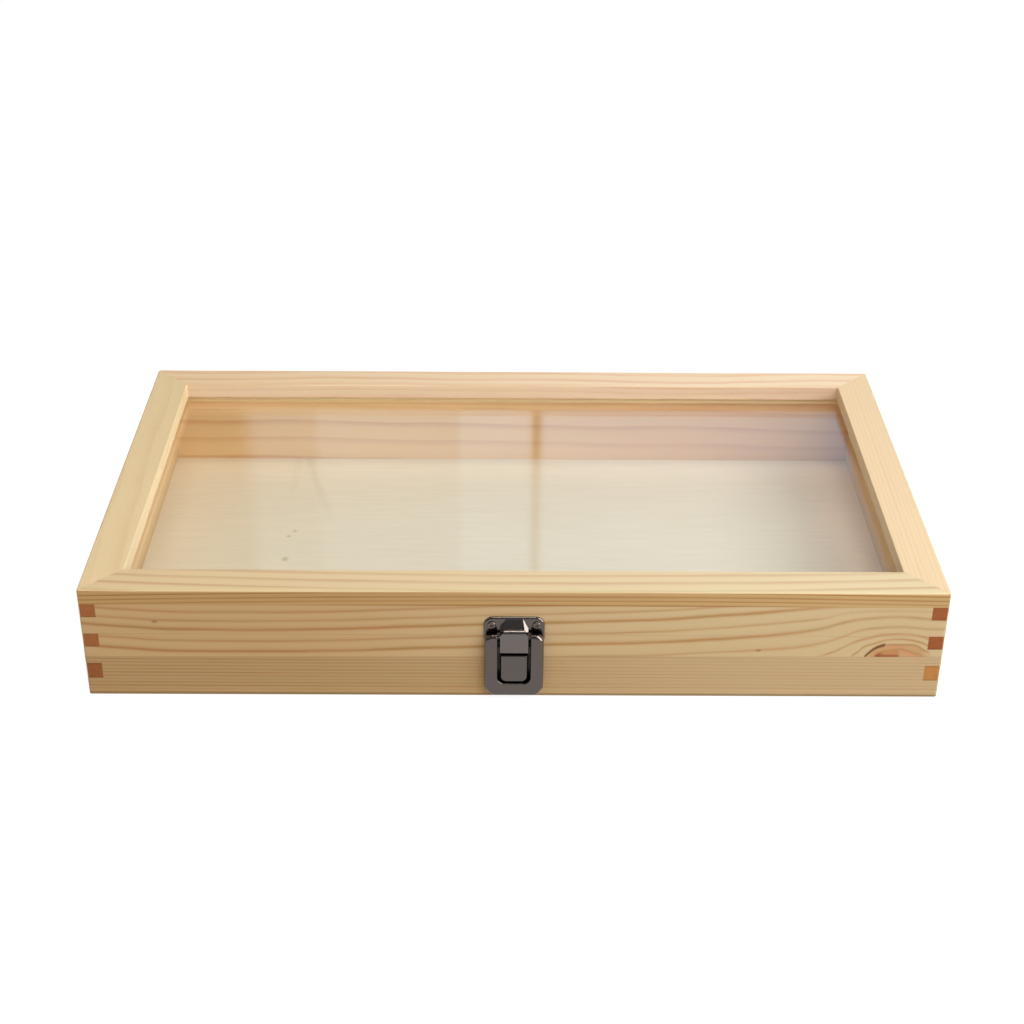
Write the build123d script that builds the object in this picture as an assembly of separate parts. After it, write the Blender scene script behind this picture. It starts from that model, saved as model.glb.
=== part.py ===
from build123d import *
import math
import os

# Glass-topped wooden display case with a hinged lid and a front toggle latch.
# Millimetres, +Z up, front of the case faces -Y, origin at the middle of the
# underside of the whole object's bounding box.

# ---------------------------------------------------------------- dimensions
CASE_W = 420.0            # outside width of the wood, X
CASE_D = 242.0            # outside depth of the wood, Y
CASE_H = 61.0             # outside height of the wood, Z
WALL = 8.0                # thickness of the wall boards
FRAME_T = 8.0             # thickness of the mitred top frame
RAIL_W = 19.6             # width of each mitred rail
SEAM_Z = 36.1             # top of the base, where the lid closes on it
SEAM_GAP = 0.1            # daylight between base and lid when shut

# finger joints: height bands, from the underside, where the side boards'
# fingers show as end grain on the front and back
BASE_FINGERS = [(10.0, 18.8), (28.5, SEAM_Z)]
LID_FINGERS = [(45.6, CASE_H - FRAME_T)]

PANEL_T = 4.0             # plywood bottom panel
PANEL_Z = 2.0             # its underside, above the foot of the walls
PANEL_GROOVE = 4.0        # depth of its groove in the walls
PANEL_PLAY = 0.4          # room at the end of the groove

GLASS_T = 2.0
GLASS_PLAY = 0.5          # room round the glass
BEAD_W = 6.0              # wood beads that hold the glass up
BEAD_H = 5.0

EASE_CORNER = 1.2         # rounding of the four upright corners
EASE_TOP = 1.0            # rounding of the top outer edge
EASE_FOOT = 0.6           # rounding of the bottom outer edge
EASE_LIP = 0.5            # rounding of the frame's inner top edge

# latch, u is the distance out from the front face of the wood
LATCH_FRONT = 6.2         # outermost face of the shut latch
SHEET = 0.8               # plate thickness of the latch plates
STRIKE_W, STRIKE_Z0, STRIKE_Z1 = 29.6, 36.15, 47.0
STRIKE_TIP_Z0 = 34.5      # lower tips of the strike plate, beside the lever
STRIKE_WING = 1.25        # front of the raised part of the strike plate
STRIKE_R = 4.6            # upper corner radius of the strike plate
STRIKE_SCREW_X, STRIKE_SCREW_Z = 10.9, 42.8
LEVER_W, LEVER_Z0, LEVER_Z1 = 28.8, 3.9, 39.4
LEVER_T = 0.7             # wall of the pressed lever
LEVER_REAR = 1.6          # rear rim of the lever
LEVER_SHOULDER = 4.6      # radius of the lever's upper corners
LEVER_ROUND = 1.9         # rounding of the lever's front edge
LEVER_WINDOW = 8.15       # half width of the lever's window
LEVER_WINDOW_Z0 = 11.3
PIVOT_U, PIVOT_Z = 3.75, 36.95      # lever pin
PIVOT_R = 2.62            # reach of the lever's top round its pin
LEVER_PIN_R = 0.8
HOOK_U, HOOK_Z = 3.3, 31.8          # hook pin
HOOK_PIN_R = 0.8
HOOK_HALF, HOOK_TOP = 6.75, 42.0
HOOK_T = 1.0
HOOK_Z0 = 28.9
HOOK_ROUND = 1.8          # outer radius of the bend at the hook's top
PAD_HALF, PAD_Z0, PAD_Z1, PAD_U = 6.5, 12.3, 27.7, 5.6
BASE_PLATE_HALF, BASE_PLATE_Z0, BASE_PLATE_Z1 = 13.4, 5.6, 35.4
EAR_IN, EAR_OUT = 9.9, 10.7

# hinges, on the outside of the back
HINGE_X = 130.0           # distance of each hinge from the middle
LEAF_W = 22.0
LEAF_H = 12.5
LEAF_T = 1.0
KNUCKLE_R = 2.0
KNUCKLE_OUT = 2.3         # pin centre behind the back of the wood
HINGE_PIN_R = 1.0
HINGE_BORE_R = 1.05
HINGE_SCREW_X = 7.0

# the latch stands out further than the hinges: the wood is set back by half
# the difference so that the whole object is centred on the origin
Y_SHIFT = (LATCH_FRONT - (KNUCKLE_OUT + KNUCKLE_R)) / 2
YF = -CASE_D / 2 + Y_SHIFT          # front face of the wood
YB = CASE_D / 2 + Y_SHIFT           # back face of the wood
XW = CASE_W / 2
WALL_TOP = CASE_H - FRAME_T
AXIS_Z = SEAM_Z + SEAM_GAP / 2

os.makedirs("parts", exist_ok=True)


# ---------------------------------------------------------------- helpers
def block(x0, x1, y0, y1, z0, z1):
    return Pos((x0 + x1) / 2, (y0 + y1) / 2, (z0 + z1) / 2) * Box(x1 - x0, y1 - y0, z1 - z0)


def face_xz(points):
    """Closed outline in X and Z, lying on the plane Y = 0."""
    return make_face(Polyline([(x, 0, z) for x, z in points], close=True))


def out_of_front(face, u0, u1):
    """Solid of an X-Z outline from u0 to u1 in front of the wood."""
    return extrude(Pos(0, YF - u0, 0) * face, amount=u1 - u0, dir=(0, -1, 0))


def side_profile(points, x0, x1):
    """Solid of a (u, z) outline, swept along X."""
    face = make_face(Polyline([(x0, YF - u, z) for u, z in points], close=True))
    return extrude(face, amount=x1 - x0, dir=(1, 0, 0))


def rod_x(x0, x1, y, z, r):
    return Pos((x0 + x1) / 2, y, z) * Rot(0, 90, 0) * Cylinder(r, x1 - x0)


def one(shape):
    """The single solid of a result, or the compound if there are several."""
    solids = shape.solids()
    return solids[0] if len(solids) == 1 else Compound(children=list(solids))


def save(shape, name):
    export_step(one(shape), f"parts/{name}.step")


def screw(length=6.0, head_r=2.0, head_h=0.9, sink=0.0, shank_r=1.0):
    """Small cross-head wood screw along +Z, its bearing face at z = 0 and its
    point at z = -length."""
    head = Cylinder(head_r, head_h, align=(Align.CENTER, Align.CENTER, Align.MIN))
    head = fillet(head.edges().group_by(Axis.Z)[-1], head_h * 0.6)
    if sink:
        cone = Pos(0, 0, -sink) * Cone(shank_r, head_r, sink, align=(Align.CENTER, Align.CENTER, Align.MIN))
        head = head + cone
    shank = Pos(0, 0, -(length - 1.6)) * Cylinder(shank_r, length - 1.6, align=(Align.CENTER, Align.CENTER, Align.MIN))
    tip = Pos(0, 0, -length) * Cone(0.15, shank_r, 1.6, align=(Align.CENTER, Align.CENTER, Align.MIN))
    body = head + shank + tip
    for a in (0, 90):
        body -= Pos(0, 0, head_h) * Rot(0, 0, a + 20) * Box(head_r * 1.25, 0.55, 1.1)
    return one(body)


def pilot(length=6.2, r=1.06):
    """Hole that the screw fills, along -Z from z = 0."""
    return Pos(0, 0, -length) * Cylinder(r, length + 0.01, align=(Align.CENTER, Align.CENTER, Align.MIN))


def at_front(x, u, z):
    """Place a +Z screw so that it points into the front of the wood."""
    return Pos(x, YF - u, z) * Rot(90, 0, 0)


def at_back(x, v, z):
    """Place a +Z screw so that it points into the back of the wood."""
    return Pos(x, YB + v, z) * Rot(-90, 0, 0)


# the eased outer shape that every outside board is trimmed to
envelope = block(-XW, XW, YF, YB, 0, CASE_H)
envelope = fillet(envelope.edges().filter_by(Axis.Z), EASE_CORNER)
envelope = fillet(envelope.faces().sort_by(Axis.Z)[-1].edges(), EASE_TOP)
envelope = fillet(envelope.faces().sort_by(Axis.Z)[0].edges(), EASE_FOOT)


def bands_between(bands, z0, z1):
    """The height bands left over between the side boards' fingers."""
    left, z = [], z0
    for a, b in bands:
        if a - z > 1e-6:
            left.append((z, a))
        z = b
    if z1 - z > 1e-6:
        left.append((z, z1))
    return left


def wall_boards(z0, z1, fingers):
    """Front, back, left and right boards of one ring, finger-jointed."""
    gaps = bands_between(fingers, z0, z1)
    out = {}
    for name, y0, y1 in (("front", YF, YF + WALL), ("back", YB - WALL, YB)):
        b = block(-XW + WALL, XW - WALL, y0, y1, z0, z1)
        for a, c in gaps:
            b += block(-XW, -XW + WALL, y0, y1, a, c) + block(XW - WALL, XW, y0, y1, a, c)
        out[name] = b
    for name, x0, x1 in (("left", -XW, -XW + WALL), ("right", XW - WALL, XW)):
        b = block(x0, x1, YF + WALL, YB - WALL, z0, z1)
        for a, c in fingers:
            b += block(x0, x1, YF, YF + WALL, a, c) + block(x0, x1, YB - WALL, YB, a, c)
        out[name] = b
    return {k: one(v & envelope) for k, v in out.items()}


# ---------------------------------------------------------------- fasteners
strike_screws = [at_front(s * STRIKE_SCREW_X, STRIKE_WING, STRIKE_SCREW_Z) * screw(6.8, 2.0, 0.75) for s in (-1, 1)]
strike_pilots = [at_front(s * STRIKE_SCREW_X, STRIKE_WING, STRIKE_SCREW_Z) * pilot(7.0) for s in (-1, 1)]
latch_places = [(s * 11.25, z) for s in (-1, 1) for z in (11.0, 24.5)]
latch_screws = [at_front(x, SHEET, z) * screw(6.6, 1.8, 0.8) for x, z in latch_places]
latch_pilots = [at_front(x, SHEET, z) * pilot(6.8) for x, z in latch_places]
leaf_places = [h * HINGE_X + s * HINGE_SCREW_X for h in (-1, 1) for s in (-1, 1)]
BASE_LEAF_SCREW_Z = AXIS_Z - 8.2
LID_LEAF_SCREW_Z = AXIS_Z + 8.2
base_hinge_screws = [at_back(x, LEAF_T, BASE_LEAF_SCREW_Z) * screw(6.6, 1.7, 0.3, sink=0.7) for x in leaf_places]
lid_hinge_screws = [at_back(x, LEAF_T, LID_LEAF_SCREW_Z) * screw(6.6, 1.7, 0.3, sink=0.7) for x in leaf_places]
base_hinge_pilots = [at_back(x, LEAF_T, BASE_LEAF_SCREW_Z) * pilot(6.8) for x in leaf_places]
lid_hinge_pilots = [at_back(x, LEAF_T, LID_LEAF_SCREW_Z) * pilot(6.8) for x in leaf_places]

# ---------------------------------------------------------------- base tray
panel = block(-XW + WALL - PANEL_GROOVE + PANEL_PLAY, XW - WALL + PANEL_GROOVE - PANEL_PLAY,
              YF + WALL - PANEL_GROOVE + PANEL_PLAY, YB - WALL + PANEL_GROOVE - PANEL_PLAY,
              PANEL_Z, PANEL_Z + PANEL_T)
groove = block(-XW + WALL - PANEL_GROOVE, XW - WALL + PANEL_GROOVE,
               YF + WALL - PANEL_GROOVE, YB - WALL + PANEL_GROOVE,
               PANEL_Z, PANEL_Z + PANEL_T)
base = wall_boards(0, SEAM_Z, BASE_FINGERS)
for k in base:
    base[k] = base[k] - groove
for p in latch_pilots:
    base["front"] = base["front"] - p
for p in base_hinge_pilots:
    base["back"] = base["back"] - p
for k, b in base.items():
    save(b, f"base_{k}_board")
save(panel, "bottom_panel")

# ---------------------------------------------------------------- lid
lid = wall_boards(SEAM_Z + SEAM_GAP, WALL_TOP, LID_FINGERS)
for p in strike_pilots:
    lid["front"] = lid["front"] - p
for p in lid_hinge_pilots:
    lid["back"] = lid["back"] - p
for k, b in lid.items():
    save(b, f"lid_{k}_board")

# mitred frame: four rails with 45 degree ends
xi, yfi, ybi = XW - RAIL_W, YF + RAIL_W, YB - RAIL_W
rails = {
    "front": [(-XW, YF), (XW, YF), (xi, yfi), (-xi, yfi)],
    "back": [(-XW, YB), (XW, YB), (xi, ybi), (-xi, ybi)],
    "left": [(-XW, YF), (-XW, YB), (-xi, ybi), (-xi, yfi)],
    "right": [(XW, YF), (XW, YB), (xi, ybi), (xi, yfi)],
}
# the opening's top edge is eased, so the rails are trimmed by a lipped well
well = block(-xi, xi, yfi, ybi, WALL_TOP - 1, CASE_H + 1)
for name, pts in rails.items():
    outline = make_face(Polyline([(x, y, WALL_TOP) for x, y in pts], close=True))
    rail = extrude(outline, amount=FRAME_T, dir=(0, 0, 1))
    inner = {"front": (Axis.Y, -1), "back": (Axis.Y, 0), "left": (Axis.X, -1), "right": (Axis.X, 0)}[name]
    inner_edge = rail.edges().group_by(Axis.Z)[-1].filter_by(
        Axis.X if name in ("front", "back") else Axis.Y).sort_by(inner[0])[inner[1]]
    rail = fillet(inner_edge, EASE_LIP)
    save(rail & envelope, f"frame_{name}_rail")

gx, gy0, gy1 = XW - WALL - GLASS_PLAY, YF + WALL + GLASS_PLAY, YB - WALL - GLASS_PLAY
glass_z0 = WALL_TOP - GLASS_T
glass = block(-gx, gx, gy0, gy1, glass_z0, WALL_TOP)
save(glass, "glass_pane")

# four mitred wood beads under the edge of the glass
bx, by0, by1 = XW - WALL, YF + WALL, YB - WALL
cx, cy0, cy1 = bx - BEAD_W, by0 + BEAD_W, by1 - BEAD_W
beads = {
    "front": [(-bx, by0), (bx, by0), (cx, cy0), (-cx, cy0)],
    "back": [(-bx, by1), (bx, by1), (cx, cy1), (-cx, cy1)],
    "left": [(-bx, by0), (-bx, by1), (-cx, cy1), (-cx, cy0)],
    "right": [(bx, by0), (bx, by1), (cx, cy1), (cx, cy0)],
}
for name, pts in beads.items():
    outline = make_face(Polyline([(x, y, glass_z0 - BEAD_H) for x, y in pts], close=True))
    bead = extrude(outline, amount=BEAD_H, dir=(0, 0, 1))
    inner = {"front": (Axis.Y, -1), "back": (Axis.Y, 0), "left": (Axis.X, -1), "right": (Axis.X, 0)}[name]
    inner_edge = bead.edges().group_by(Axis.Z)[0].filter_by(
        Axis.X if name in ("front", "back") else Axis.Y).sort_by(inner[0])[inner[1]]
    bead = fillet(inner_edge, 3.0)
    save(bead, f"glass_bead_{name}")

# ---------------------------------------------------------------- strike plate
hw = STRIKE_W / 2
outline = face_xz([(-hw, STRIKE_TIP_Z0), (hw, STRIKE_TIP_Z0), (hw, STRIKE_Z1), (-hw, STRIKE_Z1)])
top_corners = outline.vertices().group_by(Axis.Z)[-1]
outline = fillet(top_corners, STRIKE_R)
# the wings are pressed forward of an arch that leaves room for the lever,
# and their tips hang down on either side of it, just clear of the base
arch = face_xz([(-13.75, 33.0), (-13.65, 35.6), (-13.2, 36.8), (-12.3, 38.1), (-9.6, 39.6), (-7.2, 40.6),
                (7.2, 40.6), (9.6, 39.6), (12.3, 38.1), (13.2, 36.8), (13.65, 35.6), (13.75, 33.0)])
raised = out_of_front(outline, 0, STRIKE_WING)
edge = raised.faces().sort_by(Axis.Y)[0].outer_wire().edges().filter_by(
    lambda e: e.center().Z > STRIKE_TIP_Z0 + 0.1)
raised = fillet(edge, 1.0)
strike = raised - out_of_front(arch, SHEET, 2.0)
strike -= block(-13.75, 13.75, YF - 3, YF + 1, STRIKE_TIP_Z0 - 1, STRIKE_Z0)
strike -= block(-20, 20, YF - 0.35, YF + 1, STRIKE_TIP_Z0 - 1, SEAM_Z + 0.5)
# the catch: a pressed ramp with sloping flanks, ending in the lip that the
# draw hook reaches over
catch = side_profile([(0.3, 46.2), (STRIKE_WING, 46.1), (3.1, 41.8), (4.0, 41.1),
                      (4.0, 40.6), (3.0, 39.9), (0.3, 39.2)], -8, 8)
# each flank leans outwards and down: a plane with the normal (0.65, -0.65, 0.40)
for s in (-1, 1):
    lean = Plane(origin=(s * 5.3, YF - 3.1, 41.3), z_dir=(s * 0.65, -0.65, 0.40))
    catch -= lean * Pos(0, 0, 10) * Box(40, 40, 20)
catch = catch & block(-6.8, 6.8, YF - 5, YF, 30, 60)
strike += catch
# hollow behind the pressed ramp
strike -= side_profile([(-1, 44.4), (0.9, 44.0), (2.1, 41.4), (2.1, 40.7), (-1, 39.9)], -3.8, 3.8)
for s in (-1, 1):
    strike -= at_front(s * STRIKE_SCREW_X, STRIKE_WING, STRIKE_SCREW_Z) * pilot(3.0, 1.1)
save(strike, "strike_plate")
save(Compound(children=strike_screws), "strike_screws")

# ---------------------------------------------------------------- latch base plate
bp = BASE_PLATE_HALF
outline = face_xz([(-bp, BASE_PLATE_Z0), (bp, BASE_PLATE_Z0), (bp, BASE_PLATE_Z1), (-bp, BASE_PLATE_Z1)])
outline = fillet(outline.vertices().group_by(Axis.Z)[0], 2.4)
outline = fillet(outline.vertices().group_by(Axis.Z)[-1], 0.4)
base_plate = out_of_front(outline, 0, SHEET)
pad_face = face_xz([(-PAD_HALF, PAD_Z0), (PAD_HALF, PAD_Z0), (PAD_HALF, PAD_Z1), (-PAD_HALF, PAD_Z1)])
pad_face = fillet(pad_face.vertices().group_by(Axis.Z)[0], 3.0)
pad_face = fillet(pad_face.vertices().group_by(Axis.Z)[-1], 0.8)
pad = out_of_front(pad_face, 0, PAD_U)
pad = fillet(pad.faces().sort_by(Axis.Y)[0].outer_wire().edges(), 0.7)
base_plate += pad
hollow = face_xz([(-PAD_HALF + 0.8, PAD_Z0 + 0.8), (PAD_HALF - 0.8, PAD_Z0 + 0.8),
                  (PAD_HALF - 0.8, PAD_Z1 - 0.8), (-PAD_HALF + 0.8, PAD_Z1 - 0.8)])
hollow = fillet(hollow.vertices().group_by(Axis.Z)[0], 2.2)
base_plate -= out_of_front(hollow, -0.5, PAD_U - 0.8)
ear_r = 1.4
# the ear's neck comes up from below the pin, clear of the lever's turning top
lug = [(0.0, 29.5), (0.0, 34.3), (1.3, 34.3), (PIVOT_U - 1.3, PIVOT_Z - 2.2),
       (PIVOT_U - 0.9, PIVOT_Z - 1.2), (PIVOT_U, PIVOT_Z), (PIVOT_U + 1.3, PIVOT_Z - 0.45),
       (PIVOT_U + 1.1, 34.5), (PIVOT_U - 0.5, 31.5), (1.4, 29.5)]
for x0, x1 in ((-EAR_OUT, -EAR_IN), (EAR_IN, EAR_OUT)):
    ear = side_profile(lug, x0, x1) + rod_x(x0, x1, YF - PIVOT_U, PIVOT_Z, ear_r)
    base_plate += ear
base_plate -= rod_x(-20, 20, YF - PIVOT_U, PIVOT_Z, LEVER_PIN_R + 0.02)
for x, z in latch_places:
    base_plate -= at_front(x, SHEET, z) * pilot(3.0, 1.1)
save(base_plate, "latch_base_plate")
save(Compound(children=latch_screws), "latch_base_screws")

lever_pin = rod_x(-LEVER_W / 2 + 1.15, LEVER_W / 2 - 1.15, YF - PIVOT_U, PIVOT_Z, LEVER_PIN_R)
lever_pin = chamfer(lever_pin.edges(), 0.2)
save(lever_pin, "latch_lever_pin")

# ---------------------------------------------------------------- latch lever
lw = LEVER_W / 2


def lever_outline(inset):
    """Front outline of the lever, moved in by the inset."""
    half, z0, z1 = lw - inset, LEVER_Z0 + inset, LEVER_Z1 - inset
    cut = 3.3 - 0.35 * inset
    f = face_xz([(-half + cut, z0), (half - cut, z0), (half, z0 + cut * 1.35),
                 (half, z1), (-half, z1), (-half, z0 + cut * 1.35)])
    f = fillet(f.vertices().group_by(Axis.Z)[-1], LEVER_SHOULDER - inset)
    return fillet(f.vertices().filter_by(lambda v: v.Z < z0 + cut * 1.35 + 0.01), 3.6 - inset)


def lever_section(rear, front, r, z0):
    """(u, z) outline: straight below the pin, kept within reach r above it."""
    pts = [(rear, z0), (front, z0), (front, PIVOT_Z)]
    a0 = math.degrees(math.acos(min(1.0, (front - PIVOT_U) / r)))
    for i in range(0, 25):
        a = math.radians(a0 + i * (180 - a0) / 24)
        pts.append((PIVOT_U + r * math.cos(a), PIVOT_Z + r * math.sin(a)))
    pts.append((rear, PIVOT_Z - 2.2))
    return [p for p in pts if p[0] >= rear - 1e-6]


t = LEVER_T
outer = out_of_front(lever_outline(0), LEVER_REAR, LATCH_FRONT)
outer = fillet(outer.faces().sort_by(Axis.Y)[0].outer_wire().edges(), LEVER_ROUND)
outer = outer & side_profile(lever_section(LEVER_REAR, LATCH_FRONT + 1, PIVOT_R + 0.04, LEVER_Z0 - 1), -lw - 1, lw + 1)
window = face_xz([(-LEVER_WINDOW, LEVER_WINDOW_Z0), (LEVER_WINDOW, LEVER_WINDOW_Z0),
                  (LEVER_WINDOW, 60), (-LEVER_WINDOW, 60)])
window = fillet(window.vertices().group_by(Axis.Z)[0], 3.8)
outer = outer - out_of_front(window, -5, 12)
# the inside of the pressing: everything but the front skin and its flanges;
# behind the top of the pin it is open, so that it can turn past the ears
cavity = out_of_front(lever_outline(t), -6, LATCH_FRONT - t)
cavity = fillet(cavity.faces().sort_by(Axis.Y)[0].outer_wire().edges(), LEVER_ROUND - t)
inside = [(-8.0, 0.0), (LATCH_FRONT, 0.0), (LATCH_FRONT, PIVOT_Z)]
for i in range(0, 9):
    a = math.radians(i * 10)
    inside.append((PIVOT_U + (PIVOT_R - t) * math.cos(a), PIVOT_Z + (PIVOT_R - t) * math.sin(a)))
inside += [(inside[-1][0], 60.0), (-8.0, 60.0)]
cavity = cavity & side_profile(inside, -lw, lw)
cavity += side_profile([(-8.0, 34.0), (inside[11][0], 34.0), (inside[11][0], 60.0), (-8.0, 60.0)], -11.6, 11.6)
# the shoulders' rear corners are cut back for the same reason
cavity += side_profile([(-8.0, 37.3), (2.7, 37.3), (2.7, 60.0), (-8.0, 60.0)], -lw, lw)
collar = face_xz([(-LEVER_WINDOW - t, LEVER_WINDOW_Z0 - t), (LEVER_WINDOW + t, LEVER_WINDOW_Z0 - t),
                  (LEVER_WINDOW + t, 60), (-LEVER_WINDOW - t, 60)])
collar = fillet(collar.vertices().group_by(Axis.Z)[0], 3.8 + t)
cavity = cavity - out_of_front(collar, -8, 12)
lever = outer - cavity
window_edge = lever.faces().sort_by(Axis.Y)[0].edges().filter_by(
    lambda e: abs(e.center().X) < LEVER_WINDOW + 0.05 and e.center().Z > LEVER_WINDOW_Z0 - 0.1 and e.center().Z < 37.0)
try:
    lever = fillet(window_edge, 0.45)
except Exception:
    lever = chamfer(window_edge, 0.3)
lever -= rod_x(-LEVER_W / 2 + 1.05, LEVER_W / 2 - 1.05, YF - PIVOT_U, PIVOT_Z, LEVER_PIN_R + 0.06)
lever -= rod_x(-12, 12, YF - HOOK_U, HOOK_Z, HOOK_PIN_R + 0.02)
save(lever, "latch_lever")

hook_pin = rod_x(-9.5, 9.5, YF - HOOK_U, HOOK_Z, HOOK_PIN_R)
hook_pin = chamfer(hook_pin.edges(), 0.2)
save(hook_pin, "latch_hook_pin")

# ---------------------------------------------------------------- draw hook
front = LATCH_FRONT
back = LATCH_FRONT - HOOK_T
bend_u, bend_z = front - HOOK_ROUND, HOOK_TOP - HOOK_ROUND
outer_bend = [(bend_u + HOOK_ROUND * math.cos(math.radians(a)), bend_z + HOOK_ROUND * math.sin(math.radians(a)))
              for a in range(0, 91, 5)]
r_in = HOOK_ROUND - HOOK_T
inner_bend = [(bend_u + r_in * math.cos(math.radians(a)), bend_z + r_in * math.sin(math.radians(a)))
              for a in range(80, -1, -20)]
hook = side_profile([(front, HOOK_Z0 + 0.9)] + outer_bend + [(4.35, HOOK_TOP), (4.35, HOOK_TOP - HOOK_T - 0.1)]
                    + inner_bend + [(back, 33.4), (HOOK_U + 0.6, 33.4),
                                    (HOOK_U, HOOK_Z), (HOOK_U, HOOK_Z0), (front - 0.9, HOOK_Z0)],
                    -HOOK_HALF, HOOK_HALF)
hook_face = face_xz([(-HOOK_HALF, 20), (HOOK_HALF, 20), (HOOK_HALF, HOOK_TOP - 2.6), (HOOK_HALF - 2.0, HOOK_TOP + 0.1),
                     (-HOOK_HALF + 2.0, HOOK_TOP + 0.1), (-HOOK_HALF, HOOK_TOP - 2.6)])
hook = hook & out_of_front(hook_face, -2, 10)
hook += rod_x(-HOOK_HALF, HOOK_HALF, YF - HOOK_U, HOOK_Z, 1.7)
hook -= rod_x(-12, 12, YF - HOOK_U, HOOK_Z, HOOK_PIN_R + 0.06)
save(hook, "latch_hook")

# ---------------------------------------------------------------- hinges
for side, hx in (("left", -HINGE_X), ("right", HINGE_X)):
    half, mid = LEAF_W / 2, 3.9
    gap = 0.15
    y_pin = YB + KNUCKLE_OUT

    def barrel(x0, x1):
        return rod_x(hx + x0, hx + x1, y_pin, AXIS_Z, KNUCKLE_R)

    low = block(hx - half, hx + half, YB, YB + LEAF_T, AXIS_Z - LEAF_H, AXIS_Z - 0.4)
    low = fillet(low.edges().filter_by(Axis.Y).group_by(Axis.Z)[0], 1.5)
    low -= block(hx - mid - gap, hx + mid + gap, YB - 1, YB + 3, AXIS_Z - 2.6, AXIS_Z + 1)
    low += barrel(-half, -mid - gap) + barrel(mid + gap, half)
    low -= rod_x(hx - 20, hx + 20, y_pin, AXIS_Z, HINGE_BORE_R)
    for s in (-1, 1):
        place = at_back(hx + s * HINGE_SCREW_X, LEAF_T, BASE_LEAF_SCREW_Z)
        low -= place * (pilot(3.0, 1.1) + Pos(0, 0, -0.7) * Cone(1.05, 1.75, 0.71, align=(Align.CENTER, Align.CENTER, Align.MIN)))
    save(low, f"hinge_{side}_base_leaf")

    high = block(hx - half, hx + half, YB, YB + LEAF_T, AXIS_Z + 0.4, AXIS_Z + LEAF_H)
    high = fillet(high.edges().filter_by(Axis.Y).group_by(Axis.Z)[-1], 1.5)
    for x0, x1 in ((-half - 1, -mid + gap), (mid - gap, half + 1)):
        high -= block(hx + x0, hx + x1, YB - 1, YB + 3, AXIS_Z - 1, AXIS_Z + 2.6)
    high += barrel(-mid + gap, mid - gap)
    high -= rod_x(hx - 20, hx + 20, y_pin, AXIS_Z, HINGE_BORE_R)
    for s in (-1, 1):
        place = at_back(hx + s * HINGE_SCREW_X, LEAF_T, LID_LEAF_SCREW_Z)
        high -= place * (pilot(3.0, 1.1) + Pos(0, 0, -0.7) * Cone(1.05, 1.75, 0.71, align=(Align.CENTER, Align.CENTER, Align.MIN)))
    save(high, f"hinge_{side}_lid_leaf")

    pin = rod_x(hx - half - 0.2, hx + half + 0.2, y_pin, AXIS_Z, HINGE_PIN_R)
    for x0 in (hx - half - 0.8, hx + half + 0.1):
        pin += rod_x(x0, x0 + 0.7, y_pin, AXIS_Z, 1.6)
    save(pin, f"hinge_{side}_pin")

save(Compound(children=base_hinge_screws), "hinge_base_screws")
save(Compound(children=lid_hinge_screws), "hinge_lid_screws")
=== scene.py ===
import math
import bpy
from mathutils import Matrix, Vector

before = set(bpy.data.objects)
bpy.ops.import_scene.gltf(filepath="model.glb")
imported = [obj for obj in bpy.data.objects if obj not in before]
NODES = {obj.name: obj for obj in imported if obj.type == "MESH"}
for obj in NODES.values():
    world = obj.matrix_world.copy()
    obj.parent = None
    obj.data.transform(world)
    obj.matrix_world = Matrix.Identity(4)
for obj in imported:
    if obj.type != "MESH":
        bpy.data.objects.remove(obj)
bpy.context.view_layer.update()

# ---------------------------------------------------------------- sizes of the case, in mm
FRONT, BACK = -120.05, 121.95      # the wood's front and back faces
LEFT, RIGHT = -210.0, 210.0
TOP = 61.0
SEAM = 36.1


def lin(r, g, b):
    """sRGB 0-255 to linear."""
    out = []
    for c in (r, g, b):
        c = c / 255.0
        out.append(c / 12.92 if c <= 0.04045 else ((c + 0.055) / 1.055) ** 2.4)
    return (*out, 1.0)


# ================================================================ shader graph in plain arithmetic
class S:
    """A shader socket that can be added, multiplied and so on."""

    def __init__(self, g, sock):
        self.g, self.sock = g, sock

    def __add__(self, o): return self.g.math("ADD", self, o)
    def __radd__(self, o): return self.g.math("ADD", o, self)
    def __sub__(self, o): return self.g.math("SUBTRACT", self, o)
    def __rsub__(self, o): return self.g.math("SUBTRACT", o, self)
    def __mul__(self, o): return self.g.math("MULTIPLY", self, o)
    def __rmul__(self, o): return self.g.math("MULTIPLY", o, self)
    def __truediv__(self, o): return self.g.math("DIVIDE", self, o)
    def __rtruediv__(self, o): return self.g.math("DIVIDE", o, self)
    def __neg__(self): return self.g.math("MULTIPLY", self, -1.0)


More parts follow.
